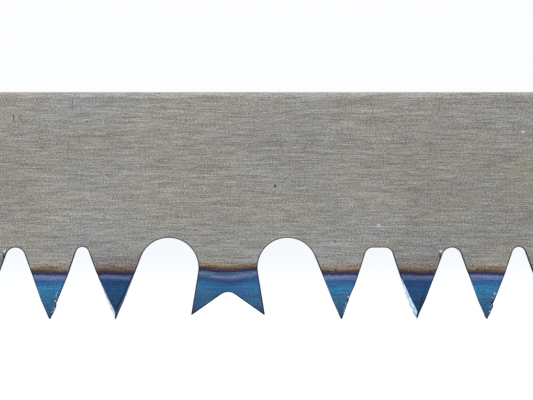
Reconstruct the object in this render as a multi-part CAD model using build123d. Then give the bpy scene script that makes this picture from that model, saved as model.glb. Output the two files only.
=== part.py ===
from build123d import *
from math import acos, atan2, cos, hypot, pi, radians, sin
import os

# A bow saw for green wood: a flat-oval tube bow that holds a raker-tooth blade in tension.
# X runs forward along the blade, Y to the left and Z up. The origin is the middle of the grip.
# All sizes are in millimetres.

# ---- Blade: a 24 inch strip, one inch wide --------------------------------------------------
HOLE_SPACING = 607.0
BLADE_WIDTH = 25.0
BLADE_THICKNESS = 0.7
HOLE_TO_END = 7.0
END_CLIP = 3.0

# Teeth, measured from a raker's middle and upwards from the line of the cutter tips.
TOOTH_PITCH = 48.1
RAKER_COUNT = 11
RAKER_HALF_WIDTH = 4.1
RAKER_TIP_HEIGHT = 0.32
NOTCH = dict(middle=0.0, top=2.95, radius=1.3, flat=0.0)
CUTTER_TIPS = (12.5, 20.8, 28.5, 35.7)
CUTTER_POINT_HALF = 0.09
CUTTER_SHOULDER_HALF = 0.98
CUTTER_SHOULDER_HEIGHT = 2.0
WIDE_GULLET = dict(middle=6.54, top=8.92, radius=3.28, flat=0.0)
CUTTER_GULLETS = (
    dict(middle=16.63, top=7.85, radius=0.9, flat=1.3),
    dict(middle=24.67, top=7.85, radius=1.08, flat=0.0),
    dict(middle=32.04, top=7.93, radius=0.73, flat=0.0),
)

# ---- Toggle: lever pivot, link pin and link --------------------------------------------------
PIVOT = (-6.0, -96.0)
THROW = 10.0
CLOSED_ANGLE = 170.0
LINK_LENGTH = 45.0
LINK_HALF_WIDTH = 6.0
PIN_RADIUS = 3.0
PIVOT_RADIUS = 3.5
RUNNING_CLEARANCE = 0.05

# Layers across the thickness, each from inner to outer face on the +Y side.
LINK_LAYER = (0.85, 2.85)
WASHER_LAYER = (3.2, 4.6)
LEVER_LAYER = (4.6, 6.6)
FORK_LAYER = (7.0, 9.0)

# ---- Bow ---------------------------------------------------------------------------------------
TUBE_DEPTH = 25.0
TUBE_THICKNESS = 14.0
TUBE_WALL = 1.2
LEG_BOTTOM = -74.0
REAR_CORNER_HEIGHT = 135.0
FRONT_CORNER_HEIGHT = 52.0
FRONT_LEG_X = 622.0
REAR_BEND = 50.0
FRONT_BEND = 45.0
FORK_RIVET_HEIGHTS = (-69.0, -59.0)
FORK_RIVET_X = -1.5
FORK_RIVET_RADIUS = 2.5
PLUG_TOP = -54.0

# ---- Nose fork ---------------------------------------------------------------------------------
NOSE_HALF_THICKNESS = 4.0
NOSE_SLOT_HALF = 0.85
NOSE_PLUG_TOP = -46.0
NOSE_RIVET_HEIGHTS = (-66.0, -54.0)
NOSE_BOTTOM_ABOVE_TIPS = 4.0
SEAT_RADIUS = 3.1
SEAT_SETBACK = 0.2
NOTCH_SLOPE = 48.0

# ---- Grip --------------------------------------------------------------------------------------
GRIP_HALF_HEIGHT = 52.0
GRIP_SECTIONS = (
    (-52.0, 17.5, 14.0),
    (-40.0, 15.7, 12.5),
    (-14.0, 15.9, 12.9),
    (12.0, 16.2, 13.3),
    (40.0, 15.6, 12.4),
    (52.0, 17.5, 14.0),
)
INLAY_DEPTH = 1.6
INLAY_LENGTH = 60.0
INLAY_WIDTH = 17.0
GRIP_SCREW_HEIGHT = 39.0
GRIP_SCREW_RADIUS = 2.0

# ---- Knuckle guard -------------------------------------------------------------------------------
GUARD_X = 50.0
GUARD_HEIGHTS = (66.0, -65.0)
GUARD_BEND = 20.0
GUARD_WIDTH = 14.0
GUARD_DEPTH = 4.0
SADDLE_HALF_WIDTH = 9.0
SADDLE_HALF_HEIGHT = 8.0
SADDLE_X = (6.5, 19.0)
GUARD_SCREW_X = 9.4
GUARD_SCREW_RADIUS = 2.0
GUARD_SCREW_HEAD = 3.0
GRIP_SCREW_HEAD = 3.7
SOCKET_RADIUS = 1.45
SOCKET_DEPTH = 1.1

# ---- Lever arm ------------------------------------------------------------------------------------
ARM_X = -24.5
ARM_HALF_WIDTH = 5.5
ARM_FOOT = -78.0
ARM_TOP = 52.0
LEVER_SHEET = LEVER_LAYER[1] - LEVER_LAYER[0]
PAD_WALL = 2.8
PAD_FOOT = -42.0
PAD_RIVET_HEIGHTS = (-30.0, 44.0)
PAD_RIVET_RADIUS = 2.0
BUFFER_HEIGHT = 30.0
BUFFER_HALF_HEIGHT = 6.0
BUFFER_GAP = 0.35

# ---- Places that follow from the sizes above ----------------------------------------------------------
LINK_PIN = (
    PIVOT[0] + THROW * cos(radians(CLOSED_ANGLE)),
    PIVOT[1] + THROW * sin(radians(CLOSED_ANGLE)),
)
REAR_HOLE = (LINK_PIN[0] + LINK_LENGTH, LINK_PIN[1])
FRONT_HOLE = (REAR_HOLE[0] + HOLE_SPACING, REAR_HOLE[1])
TIP_HEIGHT = REAR_HOLE[1] - BLADE_WIDTH / 2
MIDDLE_X = (REAR_HOLE[0] + FRONT_HOLE[0]) / 2
LINK_INNER, LINK_OUTER = LINK_LAYER


def plate(outline, y_low, y_high):
    """Extrude an outline drawn in X and Z into a plate between two Y values."""
    return extrude(Plane.XZ.offset(-y_low) * outline, amount=y_high - y_low, dir=(0, 1, 0))


def disc(centre, radius, y_low, y_high):
    """A round bar along Y about a point given in X and Z."""
    return plate(Pos(*centre) * Circle(radius), y_low, y_high)


def web(*circles):
    """The outline stretched round circles given as (x, z, radius)."""
    rounds = [Pos(x, z) * Circle(radius) for x, z, radius in circles]
    return make_hull([edge for shape in rounds for edge in shape.edges()])


def mirrored(shape):
    """The same shape on the other side of the saw."""
    return mirror(shape, about=Plane.XZ)


def domed(centre, radius, y_low, height, rounding):
    """A rivet or pin head that stands on the plane y_low towards +Y."""
    head = disc(centre, radius, y_low, y_low + height)
    rim = head.edges().filter_by(GeomType.CIRCLE).sort_by(Axis.Y)[-1]
    return fillet(rim, rounding)


def oval(grow=0.0):
    """The section of the tube, made larger all round by grow."""
    return SlotOverall(TUBE_DEPTH + 2 * grow, TUBE_THICKNESS + 2 * grow)


def oval_bar(x, z_low, z_high, grow=0.0):
    """An upright bar of the tube's section."""
    return extrude(Pos(x, 0, z_low) * oval(grow), amount=z_high - z_low)


def tangent_point(tip, centre, radius, side):
    """Where the line from a tooth tip touches a gullet's circle, on its left (-1) or right (+1)."""
    across = centre[0] - tip[0]
    up = centre[1] - tip[1]
    turn = acos(radius / hypot(across, up))
    angle = atan2(-up, -across) + side * turn
    return (centre[0] + radius * cos(angle), centre[1] + radius * sin(angle))


def cutter_flank(tip, side):
    """A cutter's flank on its left (-1) or right (+1): from its blunt point up to its shoulder."""
    return (
        (tip + side * CUTTER_POINT_HALF, 0.0),
        (tip + side * CUTTER_SHOULDER_HALF, CUTTER_SHOULDER_HEIGHT),
    )


def gullet_edges(left_flank, right_flank, gullet, offset):
    """The edges of one gullet from tooth to tooth: flank, rounded top, flank.

    Each flank is a list of points upwards from the tooth's tip.
    """
    radius = gullet["radius"]
    height = gullet["top"] - radius
    half_flat = gullet["flat"] / 2
    left = (offset + gullet["middle"] - half_flat, height)
    right = (offset + gullet["middle"] + half_flat, height)
    start = tangent_point(left_flank[-1], left, radius, -1)
    end = tangent_point(right_flank[-1], right, radius, 1)
    if half_flat == 0.0:
        rounded = [ThreePointArc(start, (left[0], height + radius), end)]
    else:
        bend = radius * sin(pi / 4)
        left_top = (left[0], height + radius)
        right_top = (right[0], height + radius)
        rounded = [
            ThreePointArc(start, (left[0] - bend, height + bend), left_top),
            Line(left_top, right_top),
            ThreePointArc(right_top, (right[0] + bend, height + bend), end),
        ]
    rise = [Line(low, high) for low, high in zip(left_flank, (*left_flank[1:], start))]
    down = (end, *reversed(right_flank))
    fall = [Line(high, low) for high, low in zip(down, down[1:])]
    return rise + rounded + fall


def cutter_edges(offset, left_gullet, left_flank, right_gullet, right_flank):
    """The four cutters after the raker at offset, with the gullets before, between and after."""
    gullets = (left_gullet, *CUTTER_GULLETS, right_gullet)
    tips = [offset + tip for tip in CUTTER_TIPS]
    left_flanks = [left_flank] + [cutter_flank(tip, 1) for tip in tips]
    right_flanks = [cutter_flank(tip, -1) for tip in tips] + [right_flank]
    edges = []
    for number, gullet in enumerate(gullets):
        if number:
            edges.append(Line(right_flanks[number - 1][0], left_flanks[number][0]))
        edges += gullet_edges(left_flanks[number], right_flanks[number], gullet, offset)
    return edges


def blade_outline():
    """The blade's face, with the middle raker at zero and the cutter tips along zero height."""
    half_length = HOLE_SPACING / 2 + HOLE_TO_END
    first_raker = -(RAKER_COUNT // 2) * TOOTH_PITCH
    last_raker = first_raker + (RAKER_COUNT - 1) * TOOTH_PITCH
    before = first_raker - TOOTH_PITCH
    reach = CUTTER_TIPS[1] - CUTTER_TIPS[0]
    far_gullet = dict(WIDE_GULLET, middle=TOOTH_PITCH - WIDE_GULLET["middle"])
    rear_gullet = dict(CUTTER_GULLETS[0], middle=CUTTER_TIPS[0] - reach / 2)
    front_gullet = dict(CUTTER_GULLETS[0], middle=CUTTER_TIPS[3] + reach / 2)
    rear_corner = (before + CUTTER_TIPS[0] - reach, 0.0)
    front_corner = (last_raker + CUTTER_TIPS[3] + reach, 0.0)

    first_point = ((first_raker - RAKER_HALF_WIDTH, RAKER_TIP_HEIGHT),)
    teeth = cutter_edges(before, rear_gullet, (rear_corner,), far_gullet, first_point)
    for count in range(RAKER_COUNT):
        raker = first_raker + count * TOOTH_PITCH
        left_point = ((raker - RAKER_HALF_WIDTH, RAKER_TIP_HEIGHT),)
        right_point = ((raker + RAKER_HALF_WIDTH, RAKER_TIP_HEIGHT),)
        next_point = ((raker + TOOTH_PITCH - RAKER_HALF_WIDTH, RAKER_TIP_HEIGHT),)
        after = (far_gullet, next_point)
        if raker == last_raker:
            after = (front_gullet, (front_corner,))
        teeth += gullet_edges(left_point, right_point, NOTCH, raker)
        teeth += cutter_edges(raker, WIDE_GULLET, right_point, *after)

    rest = Polyline(
        front_corner,
        (half_length - END_CLIP, 0.0),
        (half_length, END_CLIP),
        (half_length, BLADE_WIDTH - END_CLIP),
        (half_length - END_CLIP, BLADE_WIDTH),
        (END_CLIP - half_length, BLADE_WIDTH),
        (-half_length, BLADE_WIDTH - END_CLIP),
        (-half_length, END_CLIP),
        (END_CLIP - half_length, 0.0),
        rear_corner,
    )
    return make_face(Wire(teeth + list(rest.edges())))


# ---- Blade body -----------------------------------------------------------------------------------


def blade():
    """The toothed strip with a pin hole near each end."""
    outline = Pos(MIDDLE_X, TIP_HEIGHT) * blade_outline()
    half = BLADE_THICKNESS / 2
    strip = plate(outline, -half, half)
    strip -= disc(REAR_HOLE, PIN_RADIUS + RUNNING_CLEARANCE, -half, half)
    return strip - disc(FRONT_HOLE, PIN_RADIUS, -half, half)


def cross_pin(centre, inner, outer, head_radius):
    """A pin with a head on the +Y side and a plain end for a clip on the other."""
    shank = disc(centre, PIN_RADIUS, -outer, inner)
    return shank + domed(centre, head_radius, inner, outer - inner, 0.5)


def pin_clip(centre, inner, thickness, radius):
    """The flat ring that holds a cross pin on the -Y side."""
    ring = disc(centre, radius, -inner - thickness, -inner)
    return ring - disc(centre, PIN_RADIUS, -inner - thickness, -inner)


# ---- Link body -------------------------------------------------------------------------------------


def link_plate_left():
    """One side of the link, free on the link pin and tight on the blade's rear pin."""
    outline = web((*LINK_PIN, LINK_HALF_WIDTH), (*REAR_HOLE, LINK_HALF_WIDTH))
    side = plate(outline, LINK_INNER, LINK_OUTER)
    side -= disc(LINK_PIN, PIN_RADIUS + RUNNING_CLEARANCE, LINK_INNER, LINK_OUTER)
    return side - disc(REAR_HOLE, PIN_RADIUS, LINK_INNER, LINK_OUTER)


# ---- Lever body -----------------------------------------------------------------------------------


def arm_outline(half_width=ARM_HALF_WIDTH):
    """The side of the lever's long arm."""
    return web((ARM_X, ARM_FOOT, half_width), (ARM_X, ARM_TOP, half_width))


def tension_lever():
    """A pressed channel: two cheeks round the pivot and a web down the back of the arm."""
    inner, outer = LEVER_LAYER
    heel = web((*PIVOT, 8.0), (*LINK_PIN, 7.0), (ARM_X, ARM_FOOT, ARM_HALF_WIDTH))
    cheek = plate(heel + arm_outline(), inner, outer)
    cheek -= disc(PIVOT, PIVOT_RADIUS + RUNNING_CLEARANCE, inner, outer)
    cheek -= disc(LINK_PIN, PIN_RADIUS, inner, outer)
    cheek -= disc((ARM_X, PAD_RIVET_HEIGHTS[0]), PAD_RIVET_RADIUS, inner, outer)
    cheek -= disc((ARM_X, PAD_RIVET_HEIGHTS[1]), PAD_RIVET_RADIUS, inner, outer)
    back = ARM_X - ARM_HALF_WIDTH
    spine = Pos(back + LEVER_SHEET / 2, 0, (ARM_FOOT + ARM_TOP) / 2) * Box(
        LEVER_SHEET, 2 * inner, ARM_TOP - ARM_FOOT - 2 * LEVER_SHEET
    )
    return cheek + mirrored(cheek) + spine


def lever_pad():
    """The moulded cover over the arm's back and sides."""
    outer = LEVER_LAYER[1]
    half = ARM_HALF_WIDTH + PAD_WALL
    cover = web((ARM_X, PAD_FOOT + half, half), (ARM_X, ARM_TOP, half))
    body = plate(cover, -outer - PAD_WALL, outer + PAD_WALL)
    body = fillet(body.edges().filter_by(Axis.Z), 1.5)
    front = ARM_X + ARM_HALF_WIDTH
    body -= Pos(front + 10.0, 0, 0) * Box(20.0, 60.0, 300.0)
    body -= plate(arm_outline(), -outer, outer)
    body -= Pos(ARM_X + 10.0, 0, PAD_FOOT) * Box(20.0, 2 * outer, 40.0)
    for height in PAD_RIVET_HEIGHTS:
        body -= disc((ARM_X, height), PAD_RIVET_RADIUS, -20.0, 20.0)
    return body


def lever_pad_rivets():
    """Two rivets right through the cover and both cheeks."""
    rivets = []
    reach = LEVER_LAYER[1] + PAD_WALL
    for height in PAD_RIVET_HEIGHTS:
        centre = (ARM_X, height)
        head = domed(centre, 3.6, reach, 1.2, 0.6)
        rivets.append(disc(centre, PAD_RIVET_RADIUS, -reach, reach) + head + mirrored(head))
    return rivets


def lever_buffer():
    """The rubber block in the channel that meets the back of the grip."""
    back = ARM_X - ARM_HALF_WIDTH + LEVER_SHEET
    front = -grip_depth(BUFFER_HEIGHT + BUFFER_HALF_HEIGHT) - BUFFER_GAP - 0.2
    width = 2 * LEVER_LAYER[0]
    block = Pos((back + front) / 2, 0, BUFFER_HEIGHT) * Box(
        front - back, width, 2 * BUFFER_HALF_HEIGHT
    )
    return chamfer(block.faces().sort_by(Axis.X)[-1].edges(), 0.8)


def link_pin():
    """The pin that the link turns on, flush with the outside of the lever."""
    return disc(LINK_PIN, PIN_RADIUS, -LEVER_LAYER[1], LEVER_LAYER[1])


def link_washers():
    """A washer between each cheek and the link."""
    inner, outer = WASHER_LAYER
    washer = disc(LINK_PIN, 5.0, inner, outer) - disc(LINK_PIN, PIN_RADIUS, inner, outer)
    return [washer, mirrored(washer)]


# ---- Frame body -----------------------------------------------------------------------------------


def through_leg(x, heights, radius):
    """Bars along Y right through a leg, for cutting holes."""
    return [disc((x, height), radius, -20.0, 20.0) for height in heights]


def guard_screw_holes():
    """Bars along Y through the ears of the guard's feet and the front of the leg."""
    return through_leg(GUARD_SCREW_X, GUARD_HEIGHTS, GUARD_SCREW_RADIUS)


def bow_tube():
    """The bent tube, open at both feet."""
    path = FilletPolyline(
        (0, 0, LEG_BOTTOM),
        (0, 0, REAR_CORNER_HEIGHT),
        (FRONT_LEG_X, 0, FRONT_CORNER_HEIGHT),
        (FRONT_LEG_X, 0, LEG_BOTTOM),
        radius=(REAR_BEND, FRONT_BEND),
    )
    outer = sweep(Pos(0, 0, LEG_BOTTOM) * oval(), path=path)
    inner = sweep(Pos(0, 0, LEG_BOTTOM) * oval(-TUBE_WALL), path=path)
    tube = outer - inner
    cuts = through_leg(FORK_RIVET_X, FORK_RIVET_HEIGHTS, FORK_RIVET_RADIUS)
    cuts += through_leg(FRONT_LEG_X, NOSE_RIVET_HEIGHTS, FORK_RIVET_RADIUS)
    cuts += through_leg(0.0, (-GRIP_SCREW_HEIGHT, GRIP_SCREW_HEIGHT), GRIP_SCREW_RADIUS)
    cuts += guard_screw_holes()
    for cut in cuts:
        tube -= cut
    return tube


def leg_plug():
    """The plug in the foot of the rear leg."""
    plug = oval_bar(0.0, LEG_BOTTOM, PLUG_TOP, -TUBE_WALL)
    for cut in through_leg(FORK_RIVET_X, FORK_RIVET_HEIGHTS, FORK_RIVET_RADIUS):
        plug -= cut
    for cut in guard_screw_holes():
        plug -= cut
    return plug


def fork_plate_left():
    """The plate on the left of the rear leg that carries half of the lever's pivot."""
    inner, outer = FORK_LAYER
    outline = web((*PIVOT, 8.0), (-7.5, -57.5, 5.0), (1.0, -57.5, 5.0), (1.0, -72.0, 5.0))
    side = plate(outline, inner, outer)
    side -= disc(PIVOT, PIVOT_RADIUS, inner, outer)
    for height in FORK_RIVET_HEIGHTS:
        side -= disc((FORK_RIVET_X, height), FORK_RIVET_RADIUS, inner, outer)
    return side


def cross_rivets(x, heights, reach):
    """Rivets through a leg with a domed head on each side."""
    rivets = []
    for height in heights:
        head = domed((x, height), 4.4, reach, 1.8, 1.2)
        shank = disc((x, height), FORK_RIVET_RADIUS, -reach, reach)
        rivets.append(shank + head + mirrored(head))
    return rivets


def pivot_rivets():
    """The two short rivets that the lever hinges on, with the link free to pass between them."""
    inner_head = (LINK_OUTER + 0.3, LEVER_LAYER[0] - 0.25)
    outer = FORK_LAYER[1]
    rivet = disc(PIVOT, 4.2, *inner_head)
    rivet += disc(PIVOT, PIVOT_RADIUS, inner_head[1], outer)
    rivet += domed(PIVOT, 5.8, outer, 2.0, 1.3)
    return [rivet, mirrored(rivet)]


def nose_fork():
    """The fitting in the front leg, slotted for the blade and notched for its pin."""
    seat_x = FRONT_HOLE[0] - SEAT_SETBACK
    seat_z = FRONT_HOLE[1]
    bottom = TIP_HEIGHT + NOSE_BOTTOM_ABOVE_TIPS
    half_depth = TUBE_DEPTH / 2
    cheek = Polygon(
        (FRONT_LEG_X - half_depth, LEG_BOTTOM),
        (FRONT_LEG_X + half_depth, LEG_BOTTOM),
        (seat_x + 6.5, LEG_BOTTOM - 4.5),
        (seat_x + 15.0, seat_z - 4.5),
        (seat_x + 11.0, bottom),
        (FRONT_LEG_X + 4.0, bottom),
        (FRONT_LEG_X - half_depth, LEG_BOTTOM - 16.0),
        align=None,
    )
    rise = radians(NOTCH_SLOPE)
    flank_x = seat_x - SEAT_RADIUS * sin(rise)
    flank_z = seat_z + SEAT_RADIUS * cos(rise)
    mouth = Polygon(
        (seat_x, seat_z - SEAT_RADIUS),
        (seat_x + 30.0, seat_z - SEAT_RADIUS),
        (flank_x + 30.0 * cos(rise), flank_z + 30.0 * sin(rise)),
        (flank_x, flank_z),
        (seat_x, seat_z),
        align=None,
    )
    body = plate(cheek, -NOSE_HALF_THICKNESS, NOSE_HALF_THICKNESS)
    body += oval_bar(FRONT_LEG_X, LEG_BOTTOM, NOSE_PLUG_TOP, -TUBE_WALL)
    body -= plate(mouth, -20.0, 20.0)
    body -= disc((seat_x, seat_z), SEAT_RADIUS, -20.0, 20.0)
    slot_height = LEG_BOTTOM + 0.8 - bottom + 10.0
    body -= Pos(FRONT_LEG_X, 0, LEG_BOTTOM + 0.8 - slot_height / 2) * Box(
        100.0, 2 * NOSE_SLOT_HALF, slot_height
    )
    for cut in through_leg(FRONT_LEG_X, NOSE_RIVET_HEIGHTS, FORK_RIVET_RADIUS):
        body -= cut
    return body


def grip_depth(height):
    """Half of the grip's fore-and-aft size at a height, between the given sections."""
    for lower, upper in zip(GRIP_SECTIONS, GRIP_SECTIONS[1:]):
        if lower[0] <= height <= upper[0]:
            share = (height - lower[0]) / (upper[0] - lower[0])
            return lower[1] + share * (upper[1] - lower[1])
    return GRIP_SECTIONS[-1][1]


def grip_form(shrink=0.0):
    """The grip's outer form, without its bore."""
    sections = [
        Pos(0, 0, height) * Ellipse(deep - shrink, wide - shrink)
        for height, deep, wide in GRIP_SECTIONS
    ]
    return loft(sections)


def grip_inlay_left():
    """The soft panel let into the left shell."""
    window = SlotOverall(INLAY_LENGTH, INLAY_WIDTH, rotation=90)
    return (grip_form() - grip_form(INLAY_DEPTH)) & plate(window, 5.0, 20.0)


def grip_shell(side):
    """One half of the grip, on the left (+1) or right (-1), bored for the leg."""
    half = Pos(0, side * 20.0, 0) * Box(60.0, 40.0, 200.0)
    inlay = grip_inlay_left()
    shell = (grip_form() & half) - oval_bar(0.0, -80.0, 80.0)
    shell -= inlay if side > 0 else mirrored(inlay)
    for height in (-GRIP_SCREW_HEIGHT, GRIP_SCREW_HEIGHT):
        centre = (0.0, height)
        shell -= disc(centre, GRIP_SCREW_RADIUS, -20.0, 20.0)
        if side > 0:
            shell -= nut_pocket(height)
        else:
            shell -= disc(centre, 3.7, -20.0, -10.2)
    return shell


def hex_socket(centre, y_face):
    """The six-sided hole for a key, in a screw head whose outer face is at y_face."""
    return plate(Pos(*centre) * RegularPolygon(SOCKET_RADIUS, 6), y_face, y_face + SOCKET_DEPTH)


def nut_pocket(height):
    """The six-sided space that holds a grip nut in the left shell."""
    return plate(Pos(0.0, height) * RegularPolygon(4.0, 6), 9.6, 20.0)


def grip_screws():
    """Two screws through the grip from the right."""
    screws = []
    for height in (-GRIP_SCREW_HEIGHT, GRIP_SCREW_HEIGHT):
        centre = (0.0, height)
        head = disc(centre, GRIP_SCREW_HEAD, -12.2, -10.2)
        shank = disc(centre, GRIP_SCREW_RADIUS, -10.2, 12.0)
        screws.append(shank + head - hex_socket(centre, -12.2))
    return screws


def grip_nuts():
    """The nuts that the grip screws pull against."""
    nuts = []
    for height in (-GRIP_SCREW_HEIGHT, GRIP_SCREW_HEIGHT):
        nut = plate(Pos(0.0, height) * RegularPolygon(4.0, 6), 9.6, 12.0)
        nuts.append(nut - disc((0.0, height), GRIP_SCREW_RADIUS, 9.6, 12.0))
    return nuts


def knuckle_guard():
    """The band in front of the fingers, with a foot at each end that fits the leg."""
    start_x = (SADDLE_X[0] + SADDLE_X[1]) / 2 + 2.0
    top, bottom = GUARD_HEIGHTS
    path = FilletPolyline(
        (start_x, 0, top), (GUARD_X, 0, top), (GUARD_X, 0, bottom), (start_x, 0, bottom),
        radius=GUARD_BEND,
    )
    section = Plane(origin=(start_x, 0, top), x_dir=(0, 1, 0), z_dir=(1, 0, 0))
    guard = sweep(section * RectangleRounded(GUARD_WIDTH, GUARD_DEPTH, 1.2), path=path)
    length = SADDLE_X[1] - SADDLE_X[0]
    for height in GUARD_HEIGHTS:
        foot = Pos((SADDLE_X[0] + SADDLE_X[1]) / 2, 0, height) * Box(
            length, 2 * SADDLE_HALF_WIDTH, 2 * SADDLE_HALF_HEIGHT
        )
        guard += fillet(foot.edges().filter_by(Axis.Z), 3.0)
    guard -= oval_bar(0.0, -90.0, 90.0)
    for cut in guard_screw_holes():
        guard -= cut
    return guard


def guard_screws():
    """One screw across each foot of the guard and through the leg, with its head on the right."""
    screws = []
    for height in GUARD_HEIGHTS:
        centre = (GUARD_SCREW_X, height)
        head = mirrored(domed(centre, GUARD_SCREW_HEAD, SADDLE_HALF_WIDTH, 1.6, 0.9))
        shank = disc(centre, GUARD_SCREW_RADIUS, -SADDLE_HALF_WIDTH, SADDLE_HALF_WIDTH - 0.6)
        face = -SADDLE_HALF_WIDTH - 1.6
        screws.append(shank + head - hex_socket(centre, face))
    return screws


def write(name, shape):
    """Write one node's solids as parts/NAME.step."""
    solids = shape if isinstance(shape, list) else [shape]
    pieces = [solid for item in solids for solid in item.solids()]
    shape = pieces[0] if len(pieces) == 1 else Compound(children=pieces)
    shape.label = name
    export_step(shape, "parts/" + name + ".step")


os.makedirs("parts", exist_ok=True)

FRONT_PIN_INNER = NOSE_HALF_THICKNESS + 0.35

write("bow_tube", bow_tube())
write("leg_plug", leg_plug())
write("fork_plate_left", fork_plate_left())
write("fork_plate_right", mirrored(fork_plate_left()))
write("fork_rivets", cross_rivets(FORK_RIVET_X, FORK_RIVET_HEIGHTS, FORK_LAYER[1]))
write("pivot_rivets", pivot_rivets())
write("nose_fork", nose_fork())
write("nose_rivets", cross_rivets(FRONT_LEG_X, NOSE_RIVET_HEIGHTS, TUBE_THICKNESS / 2))
write("grip_shell_left", grip_shell(1))
write("grip_shell_right", grip_shell(-1))
write("grip_inlay_left", grip_inlay_left())
write("grip_inlay_right", mirrored(grip_inlay_left()))
write("grip_screws", grip_screws())
write("grip_nuts", grip_nuts())
write("knuckle_guard", knuckle_guard())
write("guard_screws", guard_screws())
write("tension_lever", tension_lever())
write("lever_pad", lever_pad())
write("lever_pad_rivets", lever_pad_rivets())
write("lever_buffer", lever_buffer())
write("link_pin", link_pin())
write("link_washers", link_washers())
write("link_plate_left", link_plate_left())
write("link_plate_right", mirrored(link_plate_left()))
write("blade_rear_pin", cross_pin(REAR_HOLE, LINK_OUTER, LINK_OUTER + 1.2, 4.6))
write("rear_pin_clip", pin_clip(REAR_HOLE, LINK_OUTER, 0.8, 4.8))
write("blade", blade())
write("blade_front_pin", cross_pin(FRONT_HOLE, FRONT_PIN_INNER, FRONT_PIN_INNER + 1.5, 5.0))
write("front_pin_clip", pin_clip(FRONT_HOLE, FRONT_PIN_INNER, 0.9, 5.0))
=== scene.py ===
"""A bow saw for green wood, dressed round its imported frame.

The bow, grip, guard and blade are modelled here in full; the pressed and turned metal parts
start from the frame's own solids, and get rounded edges and their real finish.
"""

import logging
import math
from collections.abc import Iterator, Sequence
from contextlib import contextmanager
from dataclasses import dataclass, field
from enum import Enum

import bpy
from mathutils import Matrix, Vector


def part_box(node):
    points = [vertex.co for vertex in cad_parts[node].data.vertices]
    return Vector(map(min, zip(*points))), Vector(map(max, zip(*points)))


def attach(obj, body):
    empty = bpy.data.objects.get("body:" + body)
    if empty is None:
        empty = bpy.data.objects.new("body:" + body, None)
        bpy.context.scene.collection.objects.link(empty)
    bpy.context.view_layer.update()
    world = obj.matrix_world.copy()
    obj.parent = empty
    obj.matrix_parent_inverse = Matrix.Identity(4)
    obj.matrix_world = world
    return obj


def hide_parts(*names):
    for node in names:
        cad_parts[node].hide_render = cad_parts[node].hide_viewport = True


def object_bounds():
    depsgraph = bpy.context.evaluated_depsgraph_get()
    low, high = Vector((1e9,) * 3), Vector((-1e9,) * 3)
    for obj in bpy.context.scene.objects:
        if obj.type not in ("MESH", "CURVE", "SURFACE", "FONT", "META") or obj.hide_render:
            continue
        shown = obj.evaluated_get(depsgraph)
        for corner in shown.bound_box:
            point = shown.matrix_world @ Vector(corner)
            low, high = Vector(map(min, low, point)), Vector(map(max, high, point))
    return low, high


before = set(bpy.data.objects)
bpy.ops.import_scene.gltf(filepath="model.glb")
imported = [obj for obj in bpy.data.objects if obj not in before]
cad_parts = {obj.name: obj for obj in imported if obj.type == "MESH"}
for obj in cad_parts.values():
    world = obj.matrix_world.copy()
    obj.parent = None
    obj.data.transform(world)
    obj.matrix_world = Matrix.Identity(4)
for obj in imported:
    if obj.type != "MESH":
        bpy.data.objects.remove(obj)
CAD_LOW, CAD_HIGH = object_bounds()

MM = 0.001
LOG = logging.getLogger("bow_saw")

Point = tuple[float, float]
Colour = tuple[float, float, float]


def linear(red: int, green: int, blue: int) -> Colour:
    """A screen colour, 0 to 255, as linear light.

    Args:
        red: the red level.
        green: the green level.
        blue: the blue level.

    Returns:
        The three linear levels.
    """
    return tuple(
        level / 255 / 12.92 if level <= 10 else ((level / 255 + 0.055) / 1.055) ** 2.4
        for level in (red, green, blue)
    )


# ---- Shader arithmetic ---------------------------------------------------------------------------


class Socket:
    """A shader socket that takes part in Python expressions."""

    def __init__(self, graph: "Graph", link: bpy.types.NodeSocket) -> None:
        """Wrap one output.

        Args:
            graph: the material's graph.
            link: the output socket.
        """
        self.graph = graph
        self.link = link

    def maths(self, operation: str, *others: "Socket | float") -> "Socket":
        """A Math node with this socket as its first value."""
        return self.graph.maths(operation, self, *others)

    def __add__(self, other: "Socket | float") -> "Socket":
        """Sum."""
        return self.maths("ADD", other)

    __radd__ = __add__

    def __mul__(self, other: "Socket | float") -> "Socket":
        """Product."""
        return self.maths("MULTIPLY", other)

    __rmul__ = __mul__

    def __sub__(self, other: "Socket | float") -> "Socket":
        """Difference."""
        return self.maths("SUBTRACT", other)

    def __rsub__(self, other: "Socket | float") -> "Socket":
        """Difference from a number on the left."""
        return self.graph.maths("SUBTRACT", other, self)

    def __truediv__(self, other: "Socket | float") -> "Socket":
        """Quotient."""
        return self.maths("DIVIDE", other)

    def __pow__(self, other: float) -> "Socket":
        """Power."""
        return self.maths("POWER", other)

    def __abs__(self) -> "Socket":
        """Size without sign."""
        return self.maths("ABSOLUTE")

    def smaller(self, other: "Socket | float") -> "Socket":
        """The smaller of two values."""
        return self.maths("MINIMUM", other)

    def larger(self, other: "Socket | float") -> "Socket":
        """The larger of two values."""
        return self.maths("MAXIMUM", other)

    def step(self, low: float, high: float) -> "Socket":
        """A smooth change from 0 at low to 1 at high, which may be the smaller of the two."""
        start, end, first, last = (low, high, 0.0, 1.0) if low < high else (high, low, 1.0, 0.0)
        node = self.graph.node(
            "ShaderNodeMapRange",
            {"interpolation_type": "SMOOTHSTEP"},
            {"Value": self, "From Min": start, "From Max": end, "To Min": first, "To Max": last},
        )
        return Socket(self.graph, node.outputs["Result"])


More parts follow.
